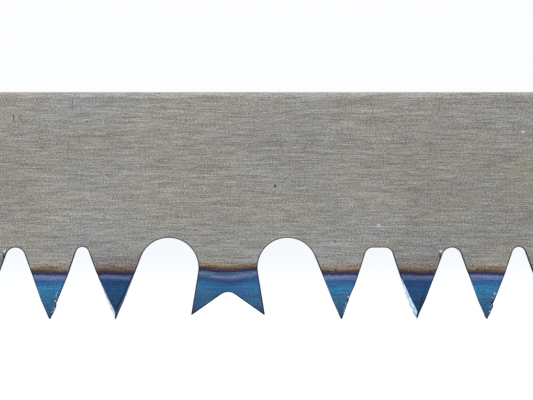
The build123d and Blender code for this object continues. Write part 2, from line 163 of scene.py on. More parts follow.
class Graph:
    """One material and the nodes that make it."""

    def __init__(self, name: str) -> None:
        """Start a material that holds only its shader and output.

        Args:
            name: the material's name.
        """
        self.material = bpy.data.materials.new(name)
        self.material.use_nodes = True
        self.tree = self.material.node_tree
        self.shader = self.tree.nodes["Principled BSDF"]
        self.place = self.node("ShaderNodeTexCoord").outputs["Object"]
        split = self.node("ShaderNodeSeparateXYZ", {}, {"Vector": self.place})
        self.x, self.z = [Socket(self, split.outputs[axis]) * (1.0 / MM) for axis in "XZ"]

    def node(
        self, kind: str, settings: dict | None = None, inputs: dict | None = None
    ) -> bpy.types.Node:
        """Add a node, set it up, and give its sockets their values or links.

        Args:
            kind: the node's type.
            settings: its properties; "stops" fills a colour ramp.
            inputs: socket names or numbers with a value, a Socket or an output.

        Returns:
            The new node.
        """
        node = self.tree.nodes.new(kind)
        for name, value in (settings or {}).items():
            if name == "stops":
                self.fill_ramp(node.color_ramp, value)
            else:
                setattr(node, name, value)
        for key, value in (inputs or {}).items():
            link = value.link if isinstance(value, Socket) else value
            if isinstance(link, bpy.types.NodeSocket):
                self.tree.links.new(link, node.inputs[key])
            else:
                node.inputs[key].default_value = link
        return node

    @staticmethod
    def fill_ramp(ramp: bpy.types.ColorRamp, stops: Sequence[tuple[float, Colour]]) -> None:
        """Give a colour ramp its stops.

        Args:
            ramp: the ramp to fill.
            stops: places from 0 to 1 with their colours, lowest first.
        """
        while len(ramp.elements) < len(stops):
            ramp.elements.new(1.0)
        for element, (place, colour) in zip(ramp.elements, stops):
            element.position = place
            element.color = (*colour, 1.0)

    def maths(self, operation: str, *values: Socket | float) -> Socket:
        """A Math node on one to three values."""
        node = self.node("ShaderNodeMath", {"operation": operation}, dict(enumerate(values)))
        return Socket(self, node.outputs[0])

    def stretched(self, along: float, across: float, upwards: float) -> bpy.types.NodeSocket:
        """Object coordinates in repeats per millimetre on each axis."""
        scale = (along / MM, across / MM, upwards / MM)
        return self.node(
            "ShaderNodeMapping", {}, {"Vector": self.place, "Scale": scale}
        ).outputs["Vector"]

    def noise(
        self,
        per_mm: float | tuple[float, float, float],
        detail: float = 2.0,
        roughness: float = 0.5,
    ) -> Socket:
        """Cloud noise about 0.5.

        Args:
            per_mm: features in a millimetre, the same each way or along X, Y and Z.
            detail: the number of finer layers.
            roughness: how strong the finer layers are.

        Returns:
            The noise value.
        """
        spread = per_mm if isinstance(per_mm, tuple) else (per_mm,) * 3
        node = self.node(
            "ShaderNodeTexNoise",
            {},
            {
                "Vector": self.stretched(*spread),
                "Scale": 1.0,
                "Detail": detail,
                "Roughness": roughness,
            },
        )
        return Socket(self, node.outputs["Fac"])

    def cells(self, per_mm: float) -> Socket:
        """The distance to scattered points, with per_mm of them along a millimetre."""
        node = self.node(
            "ShaderNodeTexVoronoi",
            {},
            {"Vector": self.stretched(per_mm, per_mm, per_mm), "Scale": 1.0},
        )
        return Socket(self, node.outputs["Distance"])

    def ramp(self, value: Socket, stops: Sequence[tuple[float, Colour]]) -> Socket:
        """Colours along a value from 0 to 1."""
        node = self.node("ShaderNodeValToRGB", {"stops": stops}, {"Fac": value})
        return Socket(self, node.outputs["Color"])

    def mix(
        self,
        factor: Socket | float,
        first: Socket | Colour,
        second: Socket | Colour,
        blend: str = "MIX",
    ) -> Socket:
        """Two colours mixed, or blended as blend says.

        Args:
            factor: how much of the second there is.
            first: the colour where factor is 0.
            second: the colour where factor is 1.
            blend: the Mix node's blend type.

        Returns:
            The mixed colour.
        """
        node = self.node("ShaderNodeMix", {"data_type": "RGBA", "blend_type": blend})
        for key, value in ((0, factor), (6, first), (7, second)):
            if isinstance(value, Socket):
                self.tree.links.new(value.link, node.inputs[key])
            else:
                node.inputs[key].default_value = (*value, 1.0) if key else value
        return Socket(self, node.outputs[2])

    def bump(self, height: Socket, depth: float, strength: float = 1.0) -> None:
        """Feed the shader's normal from a height.

        Args:
            height: the relief, about 0 to 1.
            depth: how far the relief reaches, in millimetres.
            strength: the share of it that is used.
        """
        node = self.node(
            "ShaderNodeBump", {}, {"Height": height, "Distance": depth * MM, "Strength": strength}
        )
        self.tree.links.new(node.outputs["Normal"], self.shader.inputs["Normal"])

    def finish(self, **values: Socket | Colour | float) -> bpy.types.Material:
        """Set or link the shader's sockets and hand over the material.

        Args:
            **values: socket names in lower case, with _ for a space.

        Returns:
            The finished material.
        """
        names = {name.lower().replace(" ", "_"): name for name in self.shader.inputs.keys()}
        for key, value in values.items():
            link = self.shader.inputs[names[key]]
            if isinstance(value, Socket):
                self.tree.links.new(value.link, link)
            elif isinstance(value, tuple):
                link.default_value = (*value, 1.0)
            else:
                link.default_value = value
        return self.material


# ---- Finishes ------------------------------------------------------------------------------------


# Millimetres above the cutter tips, with the screen colour of the steel there.
HARDENING_COLOURS = (
    (0.0, (70, 86, 116)),  # smoky tip
    (0.8, (50, 84, 114)),  # slate blue
    (2.8, (55, 108, 146)),  # full blue
    (3.4, (49, 116, 161)),  # bright blue
    (4.2, (52, 82, 130)),  # violet blue
    (4.65, (104, 125, 162)),  # pale lilac
    (5.0, (32, 40, 84)),  # navy
    (5.3, (88, 68, 60)),  # brown
    (5.6, (132, 116, 100)),  # tan
    (6.1, (147, 142, 132)),  # bare steel
)


class BladePart(Enum):
    """Where on the blade a finish goes."""

    FACE = "face"
    EDGE = "edge"
    FILED = "filed"


@dataclass(frozen=True)
class ToothSpacing:
    """Where the teeth stand along the blade, in millimetres from a raker's middle."""

    pitch: float = 48.1
    raker_half_width: float = 4.1
    raker_tip: float = 0.32
    cutter_tips: tuple[float, ...] = (12.5, 20.8, 28.5, 35.7)
    rakers: int = 11


@dataclass(frozen=True)
class Mark:
    """A small blemish on the blade's face, in millimetres from the middle or nearest raker."""

    along: float
    height: float
    half_length: float
    half_height: float
    colour: tuple[int, int, int]
    strength: float
    once: bool = True


MARKS = (
    Mark(5.2, 14.65, 0.22, 0.2, (62, 60, 60), 0.9),
    Mark(-17.15, 23.55, 0.07, 0.8, (92, 90, 88), 0.75),
    Mark(-23.6, 22.15, 0.09, 0.55, (78, 76, 76), 0.8),
    Mark(-22.9, 22.2, 0.3, 0.3, (100, 98, 96), 0.45),
    Mark(-15.5, 21.75, 0.14, 0.14, (84, 82, 80), 0.7),
    Mark(3.75, 24.1, 0.06, 0.4, (96, 94, 92), 0.6),
    Mark(13.0, 23.0, 0.07, 0.5, (104, 102, 98), 0.5),
    Mark(32.5, 20.6, 0.2, 0.16, (206, 206, 202), 0.7),
    Mark(11.8, 8.5, 0.16, 0.16, (70, 66, 66), 0.7),
    Mark(16.6, 10.3, 0.3, 0.22, (192, 198, 204), 0.6),
    Mark(-2.6, 14.4, 0.14, 0.14, (206, 206, 204), 0.6),
    Mark(11.87, 5.45, 0.16, 0.14, (40, 30, 34), 0.8),
    Mark(27.5, 5.46, 0.18, 0.14, (40, 30, 34), 0.8),
    Mark(27.0, 5.9, 0.12, 0.12, (58, 48, 46), 0.8),
    Mark(30.0, 6.0, 0.12, 0.12, (66, 56, 54), 0.7),
    Mark(-19.5, 5.68, 0.12, 0.12, (58, 48, 46), 0.7),
    Mark(-18.9, 5.7, 0.12, 0.12, (66, 56, 54), 0.7),
    Mark(23.35, 7.0, 0.12, 0.42, (52, 46, 88), 0.9, False),
    Mark(23.45, 7.45, 0.2, 0.14, (214, 216, 228), 0.8, False),
)


@dataclass(frozen=True)
class HardenedSteel:
    """Ground strip steel whose teeth were blued by the hardening flame."""

    spacing: ToothSpacing
    middle: float
    tips: float
    colour_height: float = 7.0
    flank_half: float = 1.6

    def material(self, part: BladePart) -> bpy.types.Material:
        """The finish of one part of the blade.

        Args:
            part: the flat face, the cut edge or a filed facet.

        Returns:
            The material.
        """
        graph = Graph(f"blade_{part.value}")
        height = graph.z - self.tips
        lines = self.grinding(graph)
        steel = self.ground_steel(graph, height, lines)
        tinted = self.tint(graph, height, lines)
        if part is BladePart.FACE:
            return self.face(graph, height, steel, tinted)
        if part is BladePart.EDGE:
            return self.edge(graph, height, steel)
        return self.filed(graph, height)

    def grinding(self, graph: Graph) -> Socket:
        """The fine lengthwise lines of the grinding, about 0."""
        fine = graph.noise((0.55, 1.0, 9.0), 3.0, 0.65)
        broad = graph.noise((0.16, 1.0, 7.0), 2.0, 0.5)
        grain = graph.noise((6.0, 3.0, 9.5), 1.0, 0.5)
        return (fine - 0.5) * 1.05 + (broad - 0.5) * 0.4 + (grain - 0.5) * 1.5

    def ground_steel(self, graph: Graph, height: Socket, lines: Socket) -> Socket:
        """The colour of the ground face.

        Args:
            graph: the material's graph.
            height: millimetres above the cutter tips.
            lines: the grinding lines.

        Returns:
            The colour.
        """
        patch = graph.noise((0.045, 0.3, 0.08), 2.0, 0.5)
        base = graph.ramp(
            lines + (patch - 0.5) * 0.25 + 0.5,
            (
                (0.1, linear(97, 94, 88)),
                (0.36, linear(127, 125, 118)),
                (0.5, linear(141, 139, 132)),
                (0.64, linear(155, 153, 146)),
                (0.9, linear(184, 182, 176)),
            ),
        )
        fleck, cloud = graph.noise((1.3, 1.0, 3.0), 2.0, 0.6), graph.noise((0.12, 1.0, 0.2), 1.0)
        hue = fleck * 0.6 + cloud * 0.4
        toned = graph.mix(hue.step(0.3, 0.7), (1.05, 1.0, 0.92), (0.965, 0.985, 1.065))
        base = graph.mix(1.0, base, toned, "MULTIPLY")
        cool = height.step(13.5, 9.0) * 0.9
        base = graph.mix(cool, base, (0.975, 0.995, 1.045), "MULTIPLY")
        warm = (graph.x - self.middle).step(9.0, 24.0)
        base = graph.mix(warm, base, (0.965, 0.95, 0.925), "MULTIPLY")
        top = height.step(19.5, 24.0) * 0.5
        base = graph.mix(top, base, (1.14, 1.15, 1.19), "MULTIPLY")
        # A painted highlight along the back rim of the face.
        lip = height.step(24.3, 24.6) * 0.8
        return graph.mix(lip, base, (1.34, 1.34, 1.36), "MULTIPLY")

    def toothed(self, graph: Graph) -> Socket:
        """1 along the teeth, fading to 0 at the plain ends."""
        spacing = self.spacing
        end = spacing.rakers // 2 * spacing.pitch + spacing.cutter_tips[3] + 7.0
        return abs(graph.x - self.middle).step(end + 3.0, end - 1.0)

    def along_pitch(self, graph: Graph) -> Socket:
        """Millimetres from the nearest raker's middle."""
        turns = (graph.x - self.middle) / self.spacing.pitch + 1000.5
        return (turns.maths("FRACT") - 0.5) * self.spacing.pitch

    def beside_cutter(self, along: Socket, which: Sequence[int]) -> Socket:
        """Millimetres from the nearest tip of the cutters named by number."""
        nearest = None
        for number in which:
            tip = self.spacing.cutter_tips[number]
            tip -= self.spacing.pitch if tip > self.spacing.pitch / 2 else 0.0
            away = abs(along - tip)
            nearest = away if nearest is None else nearest.smaller(away)
        return nearest

    def right_of_cutter(self, along: Socket) -> Socket:
        """1 on the forward side of the first and third cutter of each group."""
        half = self.flank_half
        first, third = self.spacing.cutter_tips[0], self.spacing.cutter_tips[2] - self.spacing.pitch
        beside = [along.maths("COMPARE", tip + half, half) for tip in (first, third)]
        return beside[0].larger(beside[1])

    def tint(self, graph: Graph, height: Socket, lines: Socket) -> Socket:
        """The hardening colours, from tan through brown, navy and lilac to blue."""
        along = self.along_pitch(graph)
        waver = (graph.noise((0.5, 0.2, 0.35), 2.0, 0.5) - 0.5) * 0.45
        ragged = (graph.noise((2.4, 1.0, 1.2), 2.0, 0.6) - 0.5) * 0.24
        raker = abs(along).step(4.6, 4.0)
        bow = (1.0 - (along / 2.9) ** 2.0).larger(0.0)
        sag = bow * (0.2 + height.step(5.15, 4.75) * 0.24) - raker * 0.47 + 0.04
        colours = graph.ramp(
            (height + (waver + ragged) * (1.0 - raker * 0.6) + sag) / self.colour_height,
            [(place / self.colour_height, linear(*rgb)) for place, rgb in HARDENING_COLOURS],
        )
        dull = raker * (bow * 0.45 + 0.35) * height.step(4.6, 4.1) * height.step(1.8, 2.6)
        band = raker * height.step(4.1, 4.4)
        colours = graph.mix(band, colours, (0.88, 0.88, 0.8), "MULTIPLY")
        colours = graph.mix(dull, colours, (0.8, 0.6, 0.68), "MULTIPLY")
        strength = height.step(4.6, 6.0) * 0.5 + 0.6
        streaks = graph.mix(lines * strength + 0.5, (0.0, 0.0, 0.0), (2.0, 2.0, 2.0))
        return graph.mix(1.0, colours, streaks, "MULTIPLY")

    def away_from_light(self, graph: Graph, height: Socket, colour: Socket) -> Socket:
        """Darken the cutters that lean back from the light."""
        beside = self.beside_cutter(self.along_pitch(graph), (1, 3))
        share = height.step(7.6, 5.8) * 0.5 + height.step(4.7, 3.6) * 0.5
        dark = beside.step(3.7, 2.9) * share * self.toothed(graph)
        return graph.mix(dark, colour, (0.47, 0.42, 0.5), "MULTIPLY")

    def face(
        self, graph: Graph, height: Socket, steel: Socket, tinted: Socket
    ) -> bpy.types.Material:
        """The flat sides: ground steel, tint, marks, and flecks beside the cutting edges."""
        toothed = self.toothed(graph)
        colour = graph.mix(height.step(6.5, 5.9) * toothed, steel, tinted)
        colour = self.away_from_light(graph, height, colour)
        along = self.along_pitch(graph)
        raker = abs(along).step(4.4, 4.0)
        sooty = (raker * height.step(1.5, 0.5) * 0.8).larger(height.step(0.8, 0.2) * 0.6) * toothed
        colour = graph.mix(sooty, colour, linear(30, 32, 62))
        cutter = self.beside_cutter(along, (0, 2))
        rim = cutter.step(3.0, 2.4) * (cutter / (height * 0.42 + 0.1)).step(0.4, 0.65)
        rim = rim * self.right_of_cutter(along) * height.step(3.3, 2.4) * toothed
        chips = graph.noise((3.0, 1.0, 3.0), 1.0, 0.5).step(0.46, 0.56) * rim
        flecks = graph.noise((5.0, 1.0, 5.0), 2.0, 0.6).step(0.55, 0.62) * rim
        colour = graph.mix(chips, colour, linear(40, 38, 58))
        colour = graph.mix(flecks, colour, linear(196, 206, 222))
        for mark in MARKS:
            away = graph.x - self.middle if mark.once else along
            across = (away - mark.along) / mark.half_length
            up = (height - mark.height) / mark.half_height
            shape = (1.0 - across * across - up * up).step(0.0, 0.7) * mark.strength
            colour = graph.mix(shape * toothed, colour, linear(*mark.colour))
        lines = graph.noise((0.55, 1.0, 8.5), 3.0, 0.62)
        relief = lines * 0.7 + graph.noise((4.0, 1.0, 9.0), 1.0) * 0.3
        graph.bump(relief, 0.004, 0.35)
        rough = lines * 0.16 + 0.36
        return graph.finish(base_color=colour, metallic=0.85, roughness=rough)

    def edge(self, graph: Graph, height: Socket, steel: Socket) -> bpy.types.Material:
        """The cut edge and its small burr: dark round the gullets with a painted dark reflection,
        and bright along the back with a painted highlight.
        """
        mottle = graph.noise(3.0, 2.0, 0.6)
        # Burr and blued oxide, made very dark as a painted reflection of dark surroundings.
        burr_and_painted_reflection = graph.mix(mottle, linear(14, 11, 26), linear(46, 40, 60))
        blued = graph.mix(mottle, linear(8, 12, 34), linear(30, 40, 72))
        burr_and_painted_reflection = graph.mix(height.step(6.8, 7.8) * 0.45, burr_and_painted_reflection, linear(112, 108, 112))
        low = graph.mix(height.step(6.6, 5.6) * self.toothed(graph), burr_and_painted_reflection, blued)
        # The back edge: ground steel lightened by a painted highlight.
        back = graph.mix(0.5, steel, linear(214, 205, 200))
        colour = graph.mix(height.step(12.0, 16.0), low, back)
        return graph.finish(base_color=colour, metallic=0.8, roughness=mottle * 0.25 + 0.35)

    def filed(self, graph: Graph, height: Socket) -> bpy.types.Material:
        """The filed facets of the cutters: bright steel under a thin blue film, brightened as a
        painted highlight on the forward flanks that face the light.
        """
        strokes = graph.noise((2.0, 9.0, 2.0), 2.0, 0.6)
        patches = strokes.step(0.38, 0.62)
        bright = graph.mix(patches, linear(112, 158, 200), linear(228, 240, 246))
        root = graph.mix(patches, linear(66, 84, 140), linear(132, 152, 196))
        colour = graph.mix(height.step(3.4, 4.6), bright, root)
        graph.bump(strokes, 0.01, 0.5)
        return graph.finish(base_color=colour, metallic=0.8, roughness=strokes * 0.2 + 0.3)


@dataclass(frozen=True)
class Enamel:
    """Stoved enamel on steel tube, with a little orange peel and rubbed spots."""

    name: str
    colour: Colour
    shade: Colour

    def material(self) -> bpy.types.Material:
        """The glossy paint."""
        graph = Graph(self.name)
        cloud = graph.noise(0.02, 3.0, 0.6)
        speck = graph.noise(1.6, 2.0, 0.6)
        colour = graph.mix(cloud.step(0.2, 0.8) * 0.6, self.colour, self.shade)
        colour = graph.mix(speck.step(0.64, 0.74) * 0.2, colour, self.shade)
        rubbed = graph.noise((0.05, 0.3, 0.3), 4.0, 0.65).step(0.63, 0.7)
        scratch = graph.noise((0.03, 0.9, 1.4), 3.0, 0.7).step(0.66, 0.7) * 0.5
        colour = graph.mix((rubbed + scratch) * 0.16, colour, linear(164, 176, 164))
        peel = graph.noise(0.5, 1.0, 0.4)
        graph.bump(peel * 0.8 + scratch * 0.3, 0.05, 0.25)
        rough = 0.2 + rubbed * 0.2 + cloud * 0.08
        return graph.finish(
            base_color=colour, roughness=rough, coat_weight=0.6, coat_roughness=0.08
        )


@dataclass(frozen=True)
class PlatedSteel:
    """Zinc-plated sheet or turned steel, rubbed bright on its high places."""

    name: str
    light: Colour
    dark: Colour
    roughness: float
    lines: tuple[float, float, float] = (0.5, 3.0, 3.0)

    def material(self) -> bpy.types.Material:
        """The metal finish."""
        graph = Graph(self.name)
        spangle = graph.cells(0.35)
        cloud = graph.noise(0.12, 3.0, 0.6)
        drawn = graph.noise(self.lines, 2.0, 0.6)
        level = cloud * 0.5 + drawn * 0.3 + spangle * 0.15
        colour = graph.mix(level.step(0.15, 0.9), self.dark, self.light)
        stain = graph.noise(0.25, 4.0, 0.7).step(0.6, 0.75)
        colour = graph.mix(stain * 0.25, colour, linear(120, 108, 92))
        graph.bump(drawn * 0.6 + cloud * 0.4, 0.02, 0.3)
        rough = self.roughness + (drawn - 0.5) * 0.2 + stain * 0.15
        return graph.finish(base_color=colour, metallic=1.0, roughness=rough)


@dataclass(frozen=True)
class CastMetal:
    """A fine sand or die casting under a dark phosphate coat."""

    name: str
    colour: Colour

    def material(self) -> bpy.types.Material:
        """The grainy dark finish, worn a little bright."""
        graph = Graph(self.name)
        grain = graph.noise(2.2, 3.0, 0.7)
        pits = graph.cells(0.9).step(0.3, 0.1)
        worn = graph.noise((0.14, 0.3, 0.14), 4.0, 0.7).step(0.58, 0.7)
        colour = graph.mix(grain, self.colour, tuple(level * 1.9 for level in self.colour))
        colour = graph.mix(worn * 0.5, colour, linear(150, 148, 144))
        graph.bump(grain * 0.7 - pits * 0.5, 0.12, 0.5)
        return graph.finish(
            base_color=colour, metallic=0.75 + worn * 0.2, roughness=0.52 - worn * 0.14
        )


@dataclass(frozen=True)
class MouldedPlastic:
    """Glass-filled plastic with a fine eroded mould texture."""

    name: str
    colour: Colour
    grain_per_mm: float = 2.6
    depth: float = 0.05
    gloss: float = 0.42

    def material(self) -> bpy.types.Material:
        """The textured plastic, rubbed smoother and lighter where it is held."""
        graph = Graph(self.name)
        grain = graph.noise(self.grain_per_mm, 2.0, 0.6)
        worn = graph.noise(0.05, 3.0, 0.6).step(0.45, 0.65)
        dust = graph.noise(0.8, 4.0, 0.75).step(0.62, 0.75)
        lighter = tuple(level * 1.7 + 0.006 for level in self.colour)
        colour = graph.mix(worn * 0.5 + grain * 0.3, self.colour, lighter)
        colour = graph.mix(dust * 0.18, colour, linear(126, 116, 98))
        graph.bump(grain, self.depth, 0.55)
        rough = self.gloss + grain * 0.16 - worn * 0.1
        return graph.finish(base_color=colour, roughness=rough)


@dataclass(frozen=True)
class SoftRubber:
    """Soft moulded rubber with a matt skin."""

    name: str
    colour: Colour

    def material(self) -> bpy.types.Material:
        """The matt rubber, greyed a little by dust in its pores."""
        graph = Graph(self.name)
        skin = graph.noise(4.0, 2.0, 0.6)
        cloud = graph.noise(0.1, 3.0, 0.6)
        grey = tuple(level * 1.6 + 0.01 for level in self.colour)
        colour = graph.mix(cloud * 0.6 + skin * 0.3, self.colour, grey)
        graph.bump(skin, 0.04, 0.5)
        return graph.finish(base_color=colour, roughness=0.62 + skin * 0.2)


@dataclass(frozen=True)
class PaleFloor:
    """The plain floor that the saw is shown above."""

    name: str = "pale_floor"

    def material(self) -> bpy.types.Material:
        """Nearly white, with a very faint cloud."""
        graph = Graph(self.name)
        cloud = graph.noise(0.004, 2.0, 0.5)
        colour = graph.mix(cloud, (0.93, 0.95, 0.965), (0.945, 0.965, 0.98))
        return graph.finish(base_color=colour, roughness=0.75, specular_ior_level=0.2)


# ---- Bench work ----------------------------------------------------------------------------------


def take(piece: bpy.types.Object) -> None:
    """Make one object the only selected and the active one."""
    bpy.ops.object.select_all(action="DESELECT")
    piece.select_set(True)
    bpy.context.view_layer.objects.active = piece


def primitive(kind: str, **settings: object) -> bpy.types.Object:
    """A new cube, cylinder, grid or plane, as kind says, with the operator's settings."""
    bpy.ops.object.select_all(action="DESELECT")
    getattr(bpy.ops.mesh, f"primitive_{kind}_add")(**settings)
    return bpy.context.active_object


def stand(name: str, data: bpy.types.ID) -> bpy.types.Object:
    """A new object with the given mesh, lamp or camera data, in the scene."""
    piece = bpy.data.objects.new(name, data)
    bpy.context.scene.collection.objects.link(piece)
    return piece


@contextmanager
def editing(piece: bpy.types.Object, selected: str = "SELECT") -> Iterator[None]:
    """Work on a piece in edit mode.

    Args:
        piece: the object to edit.
        selected: what select_all does first, SELECT or DESELECT.
    """
    take(piece)
    bpy.ops.object.mode_set(mode="EDIT")
    bpy.ops.mesh.select_all(action=selected)
    yield
    bpy.ops.object.mode_set(mode="OBJECT")


def modify(piece: bpy.types.Object, kind: str, **settings: object) -> None:
    """Add a modifier and apply it at once.

    Args:
        piece: the object to change.
        kind: the modifier's type.
        **settings: its properties.
    """
    take(piece)
    modifier = piece.modifiers.new(kind.lower(), kind)
    for name, value in settings.items():
        setattr(modifier, name, value)
    bpy.ops.object.modifier_apply(modifier=modifier.name)


def round_edges(piece: bpy.types.Object, width: float, segments: int = 2) -> None:
    """Round every sharp edge and shade the rest smoothly.

    Args:
        piece: the object to change.
        width: the rounding in millimetres.
        segments: the number of steps in it.
    """
    modify(
        piece,
        "BEVEL",
        width=width * MM,
        segments=segments,
        limit_method="ANGLE",
        angle_limit=math.radians(32),
        use_clamp_overlap=True,
    )
    smooth(piece)


def smooth(piece: bpy.types.Object, degrees: float = 32.0) -> None:
    """Shade smoothly except across edges sharper than degrees."""
    take(piece)
    bpy.ops.object.shade_smooth_by_angle(angle=math.radians(degrees))


def tidy_up(piece: bpy.types.Object) -> None:
    """Merge doubled corners and turn all faces outwards."""
    with editing(piece):
        bpy.ops.mesh.remove_doubles(threshold=0.001 * MM)
        bpy.ops.mesh.normals_make_consistent(inside=False)


def close_ends(piece: bpy.types.Object) -> None:
    """Put a face on each open end of a tube and turn all faces outwards."""
    with editing(piece, "DESELECT"):
        bpy.ops.mesh.select_non_manifold()
        bpy.ops.mesh.edge_face_add()
    tidy_up(piece)


def cut_away(piece: bpy.types.Object, tool: bpy.types.Object, keep: str = "DIFFERENCE") -> None:
    """Cut a piece with another, which is used up.

    Args:
        piece: the object that stays.
        tool: the cutting object.
        keep: the Boolean operation.
    """
    modify(piece, "BOOLEAN", operation=keep, object=tool, solver="EXACT")
    bpy.data.objects.remove(tool)


def outline_piece(
    name: str, outline: Sequence[Point], low: float, high: float
) -> bpy.types.Object:
    """A flat plate drawn in X and Z and extruded along Y.

    Args:
        name: the object's name.
        outline: its corners in millimetres, as (x, z).
        low: the Y of one face.
        high: the Y of the other.

    Returns:
        The closed plate.
    """
    mesh = bpy.data.meshes.new(name)
    corners = [(x * MM, low * MM, z * MM) for x, z in outline]
    mesh.from_pydata(corners, [], [tuple(range(len(corners)))])
    piece = stand(name, mesh)
    with editing(piece):
        bpy.ops.mesh.extrude_region_move(
            TRANSFORM_OT_translate={"value": (0.0, (high - low) * MM, 0.0)}
        )
        bpy.ops.mesh.select_all(action="SELECT")
        bpy.ops.mesh.normals_make_consistent(inside=False)
    return piece


def bar(name: str, middle: Sequence[float], radius: float, length: float) -> bpy.types.Object:
    """A round bar across the saw, to cut a hole with.

    Args:
        name: the object's name.
        middle: its centre in millimetres.
        radius: its radius in millimetres.
        length: its length in millimetres.

    Returns:
        The bar, with its place in its mesh.
    """
    piece = primitive(
        "cylinder",
        vertices=48,
        radius=radius * MM,
        depth=length * MM,
        location=[value * MM for value in middle],
        rotation=(math.pi / 2, 0.0, 0.0),
    )
    piece.name = name
    settle(piece)
    return piece


def settle(piece: bpy.types.Object) -> None:
    """Put an object's place, turn and scale into its mesh."""
    take(piece)
    bpy.ops.object.transform_apply(location=True, rotation=True, scale=True)


def mirrored_copy(piece: bpy.types.Object, name: str) -> bpy.types.Object:
    """The same piece on the other side of the saw, with its own mesh.

    Args:
        piece: the object to copy.
        name: the copy's name.

    Returns:
        The mirrored piece.
    """
    twin = stand(name, piece.data.copy())
    twin.data.transform(Matrix.Scale(-1.0, 4, (0.0, 1.0, 0.0)))
    twin.data.flip_normals()
    return twin


def arc(middle: Point, radius: float, start: float, end: float, steps: int) -> list[Point]:
    """Points along an arc.

    Args:
        middle: its centre.
        radius: its radius.
        start: the angle of its first point, in radians.
        end: the angle of its last point.
        steps: how many steps it has.

    Returns:
        The points, both ends included.
    """
    turns = [start + (end - start) * step / steps for step in range(steps + 1)]
    return [(middle[0] + radius * math.cos(a), middle[1] + radius * math.sin(a)) for a in turns]


@dataclass
class BentBar:
    """A bar of one section that runs straight and bends in the plane of X and Z."""

    name: str
    section: list[Point]
    start: Point
    heading: float
    steps_per_quarter: int = 24

    def build(self, route: Sequence[tuple[float, float]]) -> bpy.types.Object:
        """Model the bar by extruding and spinning its section.

        Args:
            route: runs as (length, 0) and bends as (radius, degrees), to the right if negative.

        Returns:
            The open tube of the section's outline.
        """
        mesh = bpy.data.meshes.new(self.name)
        ahead = self.direction(self.heading)
        side = Vector((ahead.z, 0.0, -ahead.x))
        base = Vector((self.start[0], 0.0, self.start[1]))
        corners = [(base + side * a + Vector((0.0, b, 0.0))) * MM for a, b in self.section]
        count = len(corners)
        mesh.from_pydata(corners, [(i, (i + 1) % count) for i in range(count)], [])
        piece = stand(self.name, mesh)
        heading, place = self.heading, base
        with editing(piece):
            for size, turn in route:
                ahead = self.direction(heading)
                if turn == 0.0:
                    place = self.run(ahead, size, place)
                else:
                    place = self.bend(ahead, size, turn, place)
                    heading += turn
        with editing(piece):
            bpy.ops.mesh.remove_doubles(threshold=0.002 * MM)
        return piece

    @staticmethod
    def direction(heading: float) -> Vector:
        """The unit vector of a heading in degrees, measured from +X towards +Z."""
        angle = math.radians(heading)
        return Vector((math.cos(angle), 0.0, math.sin(angle)))

    @staticmethod
    def run(ahead: Vector, length: float, place: Vector) -> Vector:
        """Extrude the open end straight on and return its new middle."""
        move = ahead * length
        bpy.ops.mesh.extrude_edges_move(TRANSFORM_OT_translate={"value": tuple(move * MM)})
        return place + move

    def bend(self, ahead: Vector, radius: float, turn: float, place: Vector) -> Vector:
        """Spin the open end round a bend and return its new middle."""
        left = Vector((-ahead.z, 0.0, ahead.x))
        centre = place + left * (radius if turn > 0 else -radius)
        axis = Vector((0.0, -1.0, 0.0))
        angle = math.radians(turn)
        steps = max(4, round(self.steps_per_quarter * abs(turn) / 90.0))
        bpy.ops.mesh.spin(
            steps=steps, angle=-angle, center=tuple(centre * MM), axis=tuple(axis), dupli=False
        )
        return centre + Matrix.Rotation(angle, 3, axis) @ (place - centre)


# ---- The blade -----------------------------------------------------------------------------------


@dataclass(frozen=True)
class Gullet:
    """The gap between two teeth: where it is, how high, and how it is rounded."""

    middle: float
    top: float
    radius: float
    flat: float = 0.0


